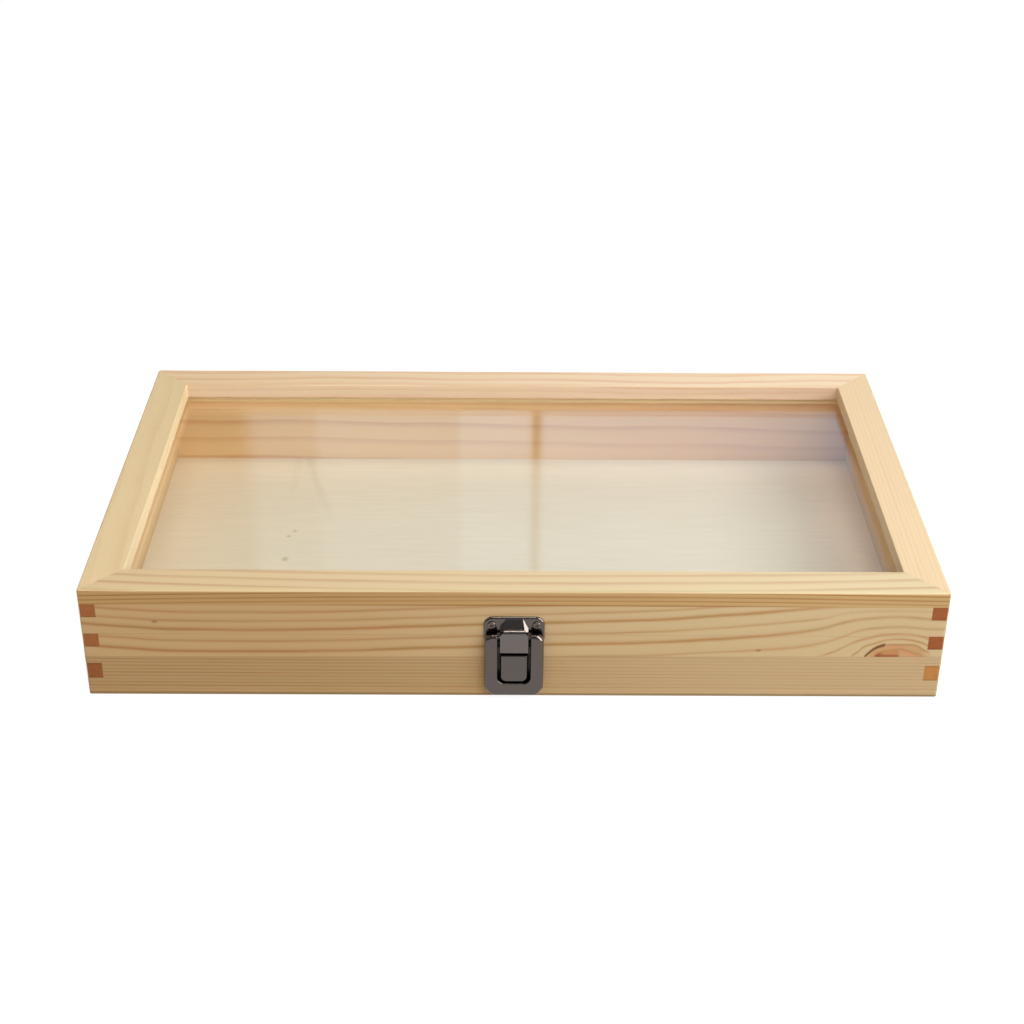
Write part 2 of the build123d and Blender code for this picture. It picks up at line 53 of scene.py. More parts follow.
class Graph:
    def __init__(self, name):
        self.mat = bpy.data.materials.new(name)
        self.mat.use_nodes = True
        self.nt = self.mat.node_tree
        self.nt.nodes.clear()
        self.out = self.nt.nodes.new("ShaderNodeOutputMaterial")
        self._obj = None
        self._geo = None

    def node(self, kind, **props):
        n = self.nt.nodes.new(kind)
        for k, v in props.items():
            setattr(n, k, v)
        return n

    def link(self, value, sock):
        if isinstance(value, S):
            self.nt.links.new(value.sock, sock)
        elif hasattr(value, "is_output"):
            self.nt.links.new(value, sock)
        else:
            sock.default_value = value

    def math(self, op, a, b=0.0, c=None, clamp=False):
        n = self.node("ShaderNodeMath", operation=op, use_clamp=clamp)
        self.link(a, n.inputs[0])
        self.link(b, n.inputs[1])
        if c is not None:
            self.link(c, n.inputs[2])
        return S(self, n.outputs[0])

    # --- coordinates in mm, in the case's own frame
    def xyz(self):
        if self._obj is None:
            tc = self.node("ShaderNodeTexCoord")
            sp = self.node("ShaderNodeSeparateXYZ")
            self.nt.links.new(tc.outputs["Object"], sp.inputs[0])
            self._obj = tuple(S(self, sp.outputs[i]) * 1000.0 for i in range(3))
        return self._obj

    def normal(self):
        if self._geo is None:
            ge = self.node("ShaderNodeNewGeometry")
            vt = self.node("ShaderNodeVectorTransform", vector_type="NORMAL", convert_from="WORLD", convert_to="OBJECT")
            self.nt.links.new(ge.outputs["Normal"], vt.inputs[0])
            sp = self.node("ShaderNodeSeparateXYZ")
            self.nt.links.new(vt.outputs[0], sp.inputs[0])
            self._geo = tuple(S(self, sp.outputs[i]) for i in range(3))
        return self._geo

    def vec(self, x, y, z):
        n = self.node("ShaderNodeCombineXYZ")
        for i, v in enumerate((x, y, z)):
            self.link(v, n.inputs[i])
        return S(self, n.outputs[0])

    def noise(self, x, y=0.0, z=0.0, detail=2.0, rough=0.5, distort=0.0):
        """Noise of about -1 to 1."""
        n = self.node("ShaderNodeTexNoise")
        n.inputs["Scale"].default_value = 1.0
        n.inputs["Detail"].default_value = detail
        n.inputs["Roughness"].default_value = rough
        n.inputs["Distortion"].default_value = distort
        self.link(self.vec(x, y, z), n.inputs["Vector"])
        return (S(self, n.outputs[0]) - 0.5) * 2.6

    def white(self, w):
        n = self.node("ShaderNodeTexWhiteNoise", noise_dimensions="1D")
        self.link(w, n.inputs["W"])
        return S(self, n.outputs["Value"])

    def smooth(self, v, a, b, lo=0.0, hi=1.0):
        n = self.node("ShaderNodeMapRange", interpolation_type="SMOOTHSTEP")
        self.link(v, n.inputs["Value"])
        self.link(a, n.inputs["From Min"]); self.link(b, n.inputs["From Max"])
        self.link(lo, n.inputs["To Min"]); self.link(hi, n.inputs["To Max"])
        return S(self, n.outputs["Result"])

    def clamp(self, v, lo=0.0, hi=1.0):
        n = self.node("ShaderNodeClamp")
        self.link(v, n.inputs[0]); self.link(lo, n.inputs[1]); self.link(hi, n.inputs[2])
        return S(self, n.outputs[0])

    def bell(self, d, w):
        """1 at d = 0, falling off over the width w."""
        q = d / w
        return self.math("EXPONENT", -(q * q))

    def curve(self, v, lo, hi, points):
        """A smooth curve through (input, output) points; outputs are 0..1 inside the node and scaled back."""
        ys = [p[1] for p in points]
        y0, y1 = min(ys), max(ys)
        n = self.node("ShaderNodeFloatCurve")
        cu = n.mapping.curves[0]
        pts = [((p[0] - lo) / (hi - lo), (p[1] - y0) / (y1 - y0)) for p in points]
        while len(cu.points) < len(pts):
            cu.points.new(0.5, 0.5)
        for cp, p in zip(cu.points, pts):
            cp.location = p
            cp.handle_type = "AUTO"
        n.mapping.update()
        self.link(self.clamp((v - lo) / (hi - lo)), n.inputs["Value"])
        return S(self, n.outputs[0]) * (y1 - y0) + y0

    def mix(self, f, a, b, blend="MIX"):
        n = self.node("ShaderNodeMix", data_type="RGBA", blend_type=blend, clamp_factor=True)
        ins = [i for i in n.inputs if i.enabled]
        fac = next(i for i in ins if i.name == "Factor")
        ca = next(i for i in ins if i.name == "A")
        cb = next(i for i in ins if i.name == "B")
        self.link(f, fac); self.link(a, ca); self.link(b, cb)
        return S(self, next(o for o in n.outputs if o.enabled))

    def scale_colour(self, col, v):
        """col times the number v."""
        n = self.node("ShaderNodeVectorMath", operation="SCALE")
        self.link(col, n.inputs[0]); self.link(v, n.inputs["Scale"])
        return S(self, n.outputs[0])

    def times(self, col, rgb):
        """col times another colour, channel by channel."""
        n = self.node("ShaderNodeVectorMath", operation="MULTIPLY")
        self.link(col, n.inputs[0])
        if isinstance(rgb, S):
            self.link(rgb, n.inputs[1])
        else:
            n.inputs[1].default_value = rgb[:3]
        return S(self, n.outputs[0])

    def grade(self, col, left, right, v=None, lo=-170.0, hi=170.0):
        """col times a tone that drifts from one end of the case to the other."""
        x, y, z = self.xyz()
        f = self.smooth(x if v is None else v, lo, hi)
        return self.times(col, self.mix(f, (*left, 1.0), (*right, 1.0)))

    def less(self, a, b): return self.math("LESS_THAN", a, b)
    def greater(self, a, b): return self.math("GREATER_THAN", a, b)
    def absolute(self, a): return self.math("ABSOLUTE", a)
    def sqrt(self, a): return self.math("SQRT", a)
    def floor(self, a): return self.math("FLOOR", a)
    def fract(self, a): return self.math("FRACT", a)
    def maximum(self, a, b): return self.math("MAXIMUM", a, b)
    def minimum(self, a, b): return self.math("MINIMUM", a, b)
    def lerp(self, a, b, f): return (b - a) * f + a if isinstance(b, S) or isinstance(a, S) else f * (b - a) + a

    def principled(self, colour, rough, metallic=0.0, height=None, bump=0.3, bump_mm=0.1, spec=0.5, coat=0.0, coat_rough=0.2):
        p = self.node("ShaderNodeBsdfPrincipled")
        self.link(colour, p.inputs["Base Color"])
        self.link(rough, p.inputs["Roughness"])
        p.inputs["Metallic"].default_value = metallic
        p.inputs["Specular IOR Level"].default_value = spec
        p.inputs["Coat Weight"].default_value = coat
        p.inputs["Coat Roughness"].default_value = coat_rough
        if height is not None:
            b = self.node("ShaderNodeBump")
            b.inputs["Strength"].default_value = bump
            b.inputs["Distance"].default_value = bump_mm / 1000.0
            self.link(height, b.inputs["Height"])
            self.nt.links.new(b.outputs[0], p.inputs["Normal"])
        self.nt.links.new(p.outputs[0], self.out.inputs["Surface"])
        return p


# ================================================================ pine
def edge_mask(g, reach):
    """1 on the case's outer arrises, 0 a little way in: the second smallest distance to the outer faces."""
    x, y, z = g.xyz()
    dx = g.minimum(x - LEFT, RIGHT - x)
    dy = g.minimum(y - FRONT, BACK - y)
    dz = g.minimum(z, TOP - z)
    lo = g.minimum(dx, dy)
    mid = g.minimum(g.maximum(dx, dy), g.maximum(lo, dz))
    n = g.noise(x / 9.0, y / 9.0, z / 9.0, detail=2.0)
    return g.smooth(mid + n * (0.35 * reach), 0.15 * reach, reach, 1.0, 0.0)


def pine(name, axis, colour, lines, line_mask, halo=None, end=None, tint=None, rough=0.5, seed=0.0,
         extra=None, fibre=1.0, spec=0.42, mottle=1.0):
    """Sanded softwood. axis is 'x' or 'y', the way the grain runs. line_mask(g) gives the latewood's strength, 0 to 1.
    colour is the earlywood, lines the latewood; end is the end grain; tint(g, col) changes the colour last."""
    g = Graph(name)
    x, y, z = g.xyz()
    nx, ny, nz = g.normal()
    L, T, along = (x, y, nx) if axis == "x" else (y, x, ny)
    mask = line_mask(g)
    # broad patches along the board, and a slow drift of hue
    patch = g.noise(L / 95.0 + seed, T / 22.0, z / 16.0 + seed, detail=2.0)
    drift = g.noise(L / 210.0 - seed, T / 60.0, z / 48.0, detail=1.0)
    fib = g.noise(L / 16.0, T / 0.34 + seed, z / 0.34, detail=3.0, rough=0.62)
    fine = g.noise(L / 5.0, T / 0.16, z / 0.16 + seed, detail=1.0)
    # short dark streaks of resin canals
    canal = g.noise(L / 4.5 + seed, T / 0.42, z / 0.42 - seed, detail=0.0)
    canal = g.smooth(canal, 0.62, 0.85)
    base = g.mix(g.clamp(drift * 0.35 + 0.5), colour[0], colour[1])
    base = g.mix(g.clamp(patch * 0.30 * mottle + 0.22), base, colour[2])
    if halo is not None:
        base = g.mix(g.clamp(halo(g)), base, lines[2])
    lcol = g.mix(g.clamp(g.noise(L / 34.0 + 3.1, T / 14.0, z / 5.0 + seed) * 0.85 + 0.45), lines[0], lines[1])
    col = g.mix(g.clamp(mask), base, lcol)
    v = 1.0 + fib * (0.030 * fibre) + fine * (0.016 * fibre) - canal * (0.05 + mask * 0.12)
    col = g.scale_colour(col, v)
    if extra is not None:
        col = extra(g, col)
    # end grain: darker, redder, short specks across the rings
    ecol = end or (lin(156, 98, 56), lin(136, 78, 42))
    spk = g.noise(x / 0.8, y / 0.8, z / 0.6, detail=3.0, rough=0.7)
    blot = g.noise(x / 3.2, y / 3.2, z / 2.2 + seed, detail=2.0)
    rings = g.noise(L / 9.0, T / 1.3, z / 1.7, detail=1.0)
    if callable(ecol):
        e = ecol(g)
    else:
        e = g.mix(g.clamp(rings * 0.5 + 0.5), ecol[0], ecol[1])
    e = g.scale_colour(e, 1.0 + spk * 0.15 + blot * 0.13 - g.smooth(spk, 0.30, 0.75) * 0.22)
    is_end = g.smooth(g.absolute(along), 0.80, 0.93)
    col = g.mix(is_end, col, e)
    # worn arrises: sanding has cut through to paler wood, handling has dulled it in places
    worn = edge_mask(g, 1.5)
    col = g.mix(worn * (1.0 - is_end) * 0.22, col, colour[0])
    if tint is not None:
        col = tint(g, col)
    r = rough + fib * 0.030 - mask * 0.05 + patch * 0.035 + is_end * 0.14 - worn * 0.05
    h = fib * 0.45 + fine * 0.25 + mask * 0.55 - canal * 0.7 + is_end * spk * 0.5
    g.principled(col, g.clamp(r, 0.2, 0.95), height=h, bump=0.35, bump_mm=0.035, spec=spec)
    return g.mat


def rings(r_of, period, axis, soft=0.46, strength=1.0, seed=0.0, uneven=0.55, vary=0.45, wave=0.5):
    """Latewood lines where r_of(g), in mm, crosses each period: dark builds up slowly and stops sharply."""
    def make(g):
        x, y, z = g.xyz()
        L, T = (x, y) if axis == "x" else (y, x)
        r = r_of(g)
        r = r + g.noise(L / 75.0 + seed, T / 30.0, z / 30.0, detail=1.0) * wave + g.noise(L / 17.0, T / 9.0 + seed, z / 9.0, detail=1.0) * (0.12 * wave)
        q = r / period + g.noise(r / (period * 2.3) + seed * 7.7, 0.0, 0.0, detail=1.0) * uneven
        i = g.floor(q)
        p = q - i
        k = 1.0 - vary + g.white(i + seed * 13.0) * vary
        along = g.clamp(0.85 + g.noise(L / 60.0, i * 0.73 + seed, 0.0, detail=1.0) * 0.35, 0.3, 1.2)
        prof = g.smooth(p, 0.93 - soft, 0.90) * g.smooth(p, 0.92, 1.0, 1.0, 0.0)
        return prof * k * along * strength
    return make


# ---------------------------------------------------------------- the front: one wide strip of flat-sawn grain over a narrow quarter-sawn one
GLUE = 23.35                    # height of the glue line between the two strips
KNOT_X, KNOT_Z = 187.0, 22.0   # the knot, cut off by the glue line
KNOT_R = 15.4
KNOT_WIDE = 1.75

FRONT_RISE = [(-210, 3.5), (-186, 1.4), (-160, 0.2), (-125, 0.0), (-92, 0.4), (-45, 2.2), (-10, 3.5), (18, 4.4), (65, 5.4), (101, 7.4), (135, 8.6), (175, 9.2), (210, 9.2)]


def front_fields(g):
    if getattr(g, "_front", None) is not None:
        return g._front
    x, y, z = g.xyz()
    depth = (y - FRONT) * 0.34
    zz = z + depth
    wob = g.noise(x / 46.0, z / 26.0, y / 30.0, detail=2.0) * 0.42 + g.noise(x / 11.0, z / 5.0, y / 9.0, detail=1.0) * 0.10
    rise = g.curve(x, -210.0, 210.0, FRONT_RISE)
    dx = (x - KNOT_X) / KNOT_WIDE
    dx = dx - g.smooth(x, KNOT_X, 210.0, 0.0, 2.2)
    dz = zz - KNOT_Z
    rho2 = dx * dx + dz * dz
    flow = dz * (KNOT_R * KNOT_R) / g.maximum(rho2, KNOT_R * KNOT_R * 0.55)
    F = zz - rise - flow + wob
    zk = zz + wob * 0.40
    glue = g.less(z, x * 0.0040 + wob * 0.12 + GLUE)
    g._front = (x, y, z, zz, F, zk, glue, wob)
    return g._front


# latewood lines of the wide strip: place across the strip, half width, strength, and the same at the right-hand end
WIDE_LINES = [(54.6, 0.95, 0.62), (48.6, 1.0, 0.70), (43.6, 0.90, 0.58), (38.6, 1.12, 1.0), (32.0, 0.88, 0.64), (26.0, 1.12, 1.0), (18.8, 0.9, 0.62), (12.6, 0.8, 0.50)]


# over the knot, at the right-hand end: half width, strength and path (x, z)
KNOT_LINES = [
    (0.95, 0.60, [(140, 51.7), (150, 53.0), (165, 53.8), (180, 54.0), (210, 54.0)]),
    (0.85, 0.36, [(140, 45.3), (150, 46.8), (158, 49.0), (165, 50.3), (180, 50.9), (210, 50.2)]),
    (0.95, 0.72, [(140, 38.9), (150, 41.0), (160, 44.2), (167, 45.9), (174, 46.7), (183, 47.4), (191, 47.3), (201, 46.3), (210, 46.0)]),
    (0.85, 0.62, [(140, 30.6), (150, 32.3), (159, 35.4), (168, 39.6), (173, 40.7), (181, 41.5), (187, 41.7), (195, 41.2), (202, 40.6), (210, 40.8)]),
    (0.80, 0.80, [(147, 23.4), (155, 26.4), (163, 31.0), (168.6, 33.9), (173.5, 35.3), (178.5, 36.9), (183.5, 37.4), (189, 37.5), (195, 36.9), (201, 35.4), (209.5, 32.4)]),
    (0.70, 0.95, [(165, 24.4), (168.7, 27.5), (171, 30.1), (175.6, 31.9), (179, 33.3), (182.2, 34.1), (186.3, 34.5), (192.5, 34.2), (196.7, 33.2), (201.4, 31.3), (206, 28.6)]),
    (0.60, 1.0, [(180.8, 31.2), (188, 31.1), (194.5, 31.2), (197.4, 30.1), (200, 28.4), (204, 26.8)]),
    (0.70, 1.0, [(176.3, 25.0), (179.5, 27.3), (183.5, 28.4), (187.6, 28.8), (190.4, 28.4), (195.1, 26.7), (200.5, 24.8)]),
]
CRACK = [(171.6, 23.9), (174.0, 26.9), (175.9, 28.8), (178.4, 30.3), (181.0, 31.2)]


def front_mask(g):
    x, y, z, zz, F, zk, glue, wob = front_fields(g)
    wide = g.clamp(1.0 + g.noise(x / 38.0, F / 5.0, 0.0, detail=1.0) * 0.24, 0.7, 1.35)
    amp = g.clamp(0.86 + g.noise(x / 48.0, F / 5.0, 5.0, detail=1.0) * 0.32, 0.35, 1.15)
    total = None
    for f0, w, s in WIDE_LINES:
        d = F - f0
        t = (g.bell(d, wide * (w * 0.78)) + g.bell(d - 1.0, 1.2) * 0.16) * (s * 1.12)
        total = t if total is None else total + t
    # fade to the right, where the board widens out into the knot's own figure
    total = total * amp * g.smooth(x, 90.0, 205.0, 1.0, 0.72)
    # over the knot each line has a shape of its own
    kr = None
    for w, k, pts in KNOT_LINES:
        t = g.bell(zk - g.curve(x, 140.0, 210.0, pts), wide * w) * k
        if pts[0][0] > 141.0:
            t = t * g.smooth(x, pts[0][0] - 1.0, pts[0][0] + 1.5)
        if pts[-1][0] < 209.0:
            t = t * g.smooth(x, pts[-1][0] - 2.5, pts[-1][0] + 0.5, 1.0, 0.0)
        kr = t if kr is None else kr + t
    kr = kr * g.clamp(0.9 + g.noise(x / 14.0, zk / 4.0, 8.0, detail=1.0) * 0.35, 0.3, 1.15)
    total = g.lerp(total, kr, g.smooth(x, 144.0, 156.0))
    # the narrow strip: close straight lines
    r = zz + g.noise(x / 120.0, 3.0, z / 40.0, detail=1.0) * 0.35 + x * 0.0022
    q = r / 1.98 + g.noise(r / 4.2, 1.0, 0.0, detail=1.0) * 0.22
    i = g.floor(q)
    p = q - i
    fine = g.smooth(p, 0.25, 0.70) * g.smooth(p, 0.74, 1.0, 1.0, 0.0) * (0.20 + 0.22 * g.white(i)) * g.smooth(x, -200.0, 90.0, 1.95, 1.05) * g.clamp(0.9 + g.noise(x / 45.0, i * 0.61, 2.0, detail=1.0) * 0.4, 0.3, 1.3)
    return g.lerp(total, fine, glue)


def front_extra(g, col):
    x, y, z, zz, F, zk, glue, wob = front_fields(g)
    up = 1.0 - glue
    # the knot: a reddish lens cut off by the glue line, warm wood around it and a dark crack over its left shoulder
    over = zk - g.curve(x, 140.0, 210.0, KNOT_LINES[7][2])
    outer = zk - g.curve(x, 140.0, 210.0, [(165, 22.0), (171.6, 24.0), (176, 29.0), (181, 31.2), (194, 31.2), (200, 28.4), (206, 23.0)])
    warm = g.smooth(outer, -1.2, 0.4, 1.0, 0.0) * up * g.smooth(x, 171.0, 175.0) * g.smooth(x, 199.0, 205.0, 1.0, 0.0)
    ring = g.bell(over, 0.8) * g.smooth(x, 187.0, 190.0) + g.bell(outer, 0.7) * g.smooth(x, 181.0, 184.0)
    col = g.mix(warm * 0.66 * (1.0 - ring * 0.7), col, lin(206, 145, 90))
    col = g.mix(g.clamp(ring) * up * g.smooth(x, 200.0, 206.0, 1.0, 0.0) * 0.45, col, lin(184, 128, 78))
    blush = g.bell(x - 186.0, 5.0) * g.bell(zk - 30.0, 1.0) * up
    col = g.mix(blush * 0.45, col, lin(222, 150, 112))
    lens = g.smooth(over, -0.9, 0.1, 1.0, 0.0) * up
    left = g.smooth(x, 187.4, 189.2, 1.0, 0.0) * g.smooth(x, 175.8, 177.4)
    col = g.mix(lens * left * 0.72, col, lin(206, 132, 80))
    col = g.mix(lens * g.bell(x - 178.6, 1.5) * 0.55, col, lin(142, 76, 38))
    col = g.mix(g.smooth(zk, 24.9, 26.0, 1.0, 0.0) * left * up * 0.75, col, lin(158, 78, 46))
    salmon = g.bell(over + 1.1, 0.8) * g.smooth(x, 188.5, 190.5) * g.smooth(x, 195.0, 198.5, 1.0, 0.0) * up
    col = g.mix(salmon * 0.7, col, lin(226, 146, 110))
    crack = g.bell(zk - g.curve(x, 140.0, 210.0, CRACK), 0.85) * g.smooth(x, 171.2, 172.0) * g.smooth(x, 180.2, 182.0, 1.0, 0.0) * up
    col = g.mix(g.clamp(crack * 1.4) * 0.95, col, lin(118, 64, 12))
    d = g.sqrt((x - 198.0) * (x - 198.0) * 0.35 + (z - 23.0) * (z - 23.0))
    col = g.mix(g.smooth(d, 0.3, 1.6, 0.40, 0.0), col, lin(232, 166, 132))
    blush = g.bell(zk - 37.4, 1.0) * g.smooth(x, 199.0, 203.0)
    col = g.mix(blush * 0.35, col, lin(230, 182, 152))
    # a reddish edge to some of the lines
    red = g.bell(F - 50.2, 0.9) * g.smooth(x, -20.0, 30.0) * g.smooth(x, 150.0, 190.0, 1.0, 0.3)
    col = g.mix(red * 0.35, col, lin(206, 140, 100))
    # a shaded line right under the frame's front arris, and a paler band and a dark line along the foot
    brow = g.bell(z - 53.2, 0.5) * g.clamp(0.75 + g.noise(x / 40.0, 2.0, 0.0) * 0.4)
    col = g.mix(brow * 0.30, col, lin(140, 92, 48))
    # two pin knots and a pale scratch
    for px_, pz_, r_ in ((-174.0, 43.2, 1.0), (119.4, 27.7, 0.9)):
        d = g.sqrt((x - px_) * (x - px_) * 0.30 + (z - pz_) * (z - pz_))
        col = g.mix(g.smooth(d, 0.3 * r_, 1.25 * r_, 0.55, 0.0), col, lin(132, 92, 56))
    s = g.sqrt((x + 111.5) * (x + 111.5) * 0.10 + (z - 46.3 - (x + 111.5) * -0.45) * (z - 46.3 - (x + 111.5) * -0.45) * 2.4)
    col = g.mix(g.smooth(s, 0.35, 1.1, 0.5, 0.0), col, lin(214, 182, 150))
    # glue line
    gl = g.bell(z - (x * 0.0040 + wob * 0.12 + GLUE), 0.24)
    col = g.mix(gl * 0.26, col, lin(150, 112, 70))
    return col


def front_painted_shade_and_tone(g, col):
    x, y, z, zz, F, zk, low, wob = front_fields(g)
    # towards the left the colour is darker and browner, painted shade from the light on the right; the lower strip is
    # browner wood
    up_c = g.grade(col, (0.707, 0.687, 0.686), (0.878, 0.996, 1.19))
    low_c = g.grade(col, (0.589, 0.561, 0.529), (0.79, 0.848, 1.01))
    col = g.mix(low, up_c, low_c)
    # a paler band about 3 mm up, and darker along the bottom edge
    col = g.scale_colour(col, 1.0 + g.bell(z - 3.1, 1.0) * 0.07)
    foot = g.smooth(z + g.noise(x / 12.0, y / 12.0, 0.0) * 0.25, 1.0, 2.1, 1.0, 0.0)
    return g.mix(foot * 0.62, col, lin(118, 98, 66))


EARLY = (lin(222, 194, 146), lin(226, 192, 150), lin(216, 182, 130))
LATE = (lin(188, 148, 92), lin(204, 142, 94), lin(212, 174, 124))


def end_strips(split, low, high):
    def make(g):
        x, y, z = g.xyz()
        f = g.greater(z, split)
        rim = g.minimum(g.absolute(g.absolute(z - 14.4) - 4.4), g.minimum(g.absolute(z - 28.5), g.absolute(z - 45.6)))
        return g.scale_colour(g.mix(f, low, high), g.smooth(rim + g.noise(x / 1.2, y / 1.2, z / 1.2) * 0.2, 0.2, 1.1, 0.78, 1.0))
    return make


M = {}
M["front"] = pine("pine_front", "x", EARLY, LATE, front_mask, extra=front_extra, tint=front_painted_shade_and_tone, seed=1.3)


# ---------------------------------------------------------------- the top frame
def front_rail_r(g):
    x, y, z = g.xyz()
    u = y - FRONT
    q = (x - 25.0) * (x - 25.0) * 0.00015 - 1.0
    return (TOP - z) + (u - q) * 0.345 - 0.55 + 26.5


def front_rail_painted_light_and_shade(g, col):
    x, y, z = g.xyz()
    nx, ny, nz = g.normal()
    u = y - FRONT
    # painted light and shade: the top face is washed towards pale cream (painted sheen) with a paler band along the
    # front arris (painted highlight), and the front face gets a much darker, warmer copy (painted shade); both drift in
    # tone along the rail
    soft = g.mix(0.42, col, lin(231, 202, 156))
    soft = g.mix(g.bell(u - 1.6, 1.6) * 0.5, soft, lin(232, 212, 158))
    top = g.grade(soft, (0.80, 0.794, 0.782), (0.835, 0.891, 0.942))
    edge = g.grade(col, (0.583, 0.514, 0.403), (0.708, 0.672, 0.602))
    return g.mix(g.smooth(nz, 0.25, 0.75), edge, top)


M["rail_front"] = pine("pine_rail_front", "x", (lin(232, 206, 160), lin(230, 198, 152), lin(236, 208, 158)),
                       (lin(186, 128, 76), lin(196, 130, 82), lin(220, 178, 128)),
                       rings(front_rail_r, 2.45, "x", soft=0.50, strength=1.0, seed=0.0, uneven=0.16, vary=0.35, wave=0.22), seed=2.1,
                       tint=front_rail_painted_light_and_shade)


def back_rail_r(g):
    x, y, z = g.xyz()
    v = BACK - y
    q = g.noise(x / 150.0, 4.0, 0.0, detail=1.0) * 3.0
    return (TOP - z) * 0.9 + v * 0.42 + q + 20.0


def back_rail_painted_light_and_shade(g, col):
    nx, ny, nz = g.normal()
    # painted light and shade: the top face and the inner lip get different tones by facing, each drifting along the
    # rail
    top = g.grade(col, (0.874, 0.869, 0.846), (0.946, 1.003, 1.07))
    lip = g.grade(col, (0.854, 0.879, 0.968), (0.84, 0.82, 0.905))
    return g.mix(g.smooth(nz, 0.25, 0.75), lip, top)


M["rail_back"] = pine("pine_rail_back", "x", (lin(236, 206, 164), lin(234, 200, 160), lin(238, 212, 176)),
                      (lin(220, 166, 118), lin(224, 160, 118), lin(232, 190, 148)),
                      rings(back_rail_r, 3.6, "x", soft=0.6, strength=0.75, seed=4.0, uneven=0.45, vary=0.6, wave=0.9), seed=5.7,
                      tint=back_rail_painted_light_and_shade)


def left_rail_r(g):
    x, y, z = g.xyz()
    return (TOP - z) * 0.5 + (x - LEFT) * 0.16 + y * 0.004 + 40.0


# the face turned to the right, the rail's inner wall, is lighter and cooler and the other faces darker: painted
# highlight and painted shade
M["rail_left"] = pine("pine_rail_left", "y", (lin(228, 204, 158), lin(226, 200, 152), lin(230, 206, 164)),
                      (lin(206, 164, 108), lin(214, 170, 112), lin(220, 190, 140)),
                      rings(left_rail_r, 1.5, "y", soft=0.7, strength=0.32, seed=6.0, uneven=0.5, vary=0.7, wave=0.5), seed=7.9, fibre=1.4,
                      tint=lambda g, col: g.mix(g.smooth(g.normal()[0], 0.4, 0.8), g.times(col, (0.905, 0.885, 0.86)), g.times(col, (1.0, 1.04, 1.10))))


def right_rail_r(g):
    x, y, z = g.xyz()
    return (TOP - z) * 0.45 + (RIGHT - x) * 0.9 + y * 0.006 + 40.0


M["rail_right"] = pine("pine_rail_right", "y", (lin(232, 206, 166), lin(230, 202, 160), lin(234, 210, 170)),
                       (lin(216, 176, 124), lin(220, 176, 128), lin(226, 194, 148)),
                       rings(right_rail_r, 2.1, "y", soft=0.6, strength=0.42, seed=8.0, uneven=0.35, vary=0.6, wave=0.35), seed=9.2,
                       tint=lambda g, col: g.times(col, (0.915, 0.885, 0.86)))


# ---------------------------------------------------------------- the other walls: two strips glued edge to edge, as on the front
def wall_mask(axis, seed, split):
    def flat(g):
        x, y, z = g.xyz()
        L, T = (x, y) if axis == "x" else (y, x)
        c = g.noise(L / 160.0 + seed, 0.0, seed, detail=1.0) * 5.0
        return z * 0.92 + T * 0.30 + c + L * 0.012 + 300.0
    a = rings(flat, 6.2, axis, soft=0.34, strength=0.92, seed=seed, uneven=0.35, vary=0.5, wave=0.8)

    def close(g):
        x, y, z = g.xyz()
        L, T = (x, y) if axis == "x" else (y, x)
        return z + T * 0.22 + L * 0.003 + 300.0
    b = rings(close, 2.05, axis, soft=0.6, strength=0.36, seed=seed + 2.0, uneven=0.3, vary=0.5, wave=0.3)

    def make(g):
        x, y, z = g.xyz()
        return g.lerp(a(g), b(g), g.less(z, split))
    return make


def wall_glue(split):
    def extra(g, col):
        x, y, z = g.xyz()
        gl = g.bell(z - split, 0.22)
        col = g.mix(g.less(z, split) * 0.4, col, g.scale_colour(col, 0.94))
        return g.mix(gl * 0.22, col, lin(150, 112, 70))
    return extra


M["side_left"] = pine("pine_side_left", "y", EARLY, LATE, wall_mask("y", 11.0, 24.2), extra=wall_glue(24.2), seed=11.0,
                      end=end_strips(24.2, lin(142, 84, 46), lin(152, 94, 55)))
M["side_right"] = pine("pine_side_right", "y", EARLY, LATE, wall_mask("y", 14.0, 22.0), extra=wall_glue(22.0), seed=14.0,
                       end=end_strips(22.0, lin(186, 132, 76), lin(154, 88, 50)))


def back_flat(g):
    x, y, z = g.xyz()
    c = g.noise(x / 170.0 + 2.0, 0.0, 1.0, detail=1.0) * 2.2
    return z + (BACK - y) * 0.3 + c + x * 0.014 + 301.0


M["back"] = pine("pine_back", "x", (lin(238, 205, 158), lin(240, 200, 158), lin(234, 198, 152)), (lin(212, 150, 106), lin(210, 146, 100), lin(226, 180, 136)),
                 rings(back_flat, 11.5, "x", soft=0.42, strength=0.62, seed=17.0, uneven=0.35, vary=0.45, wave=1.4), extra=wall_glue(-9.0), seed=17.0,
                 tint=lambda g, col: g.grade(col, (1.0, 1.01, 0.91), (0.862, 0.745, 0.660), lo=-120.0, hi=160.0))


def bead_r(g):
    x, y, z = g.xyz()
    return z * 1.0 + y * 0.2 + x * 0.004 + 300.0


# the front and back beads are lightened and cooled far past the wood's colour: painted light
M["bead_x"] = pine("pine_bead_x", "x", (lin(222, 184, 134), lin(218, 178, 126), lin(224, 188, 140)), (lin(192, 140, 88), lin(190, 136, 84), lin(206, 160, 108)),
                   rings(bead_r, 2.4, "x", soft=0.6, strength=0.6, seed=21.0, uneven=0.4, vary=0.5, wave=0.5), seed=21.0,
                   tint=lambda g, col: g.times(col, (1.28, 1.62, 2.04)))
M["bead_y"] = pine("pine_bead_y", "y", (lin(222, 184, 134), lin(218, 178, 126), lin(224, 188, 140)), (lin(192, 140, 88), lin(190, 136, 84), lin(206, 160, 108)),
                   rings(bead_r, 2.4, "y", soft=0.6, strength=0.6, seed=23.0, uneven=0.4, vary=0.5, wave=0.5), seed=23.0)


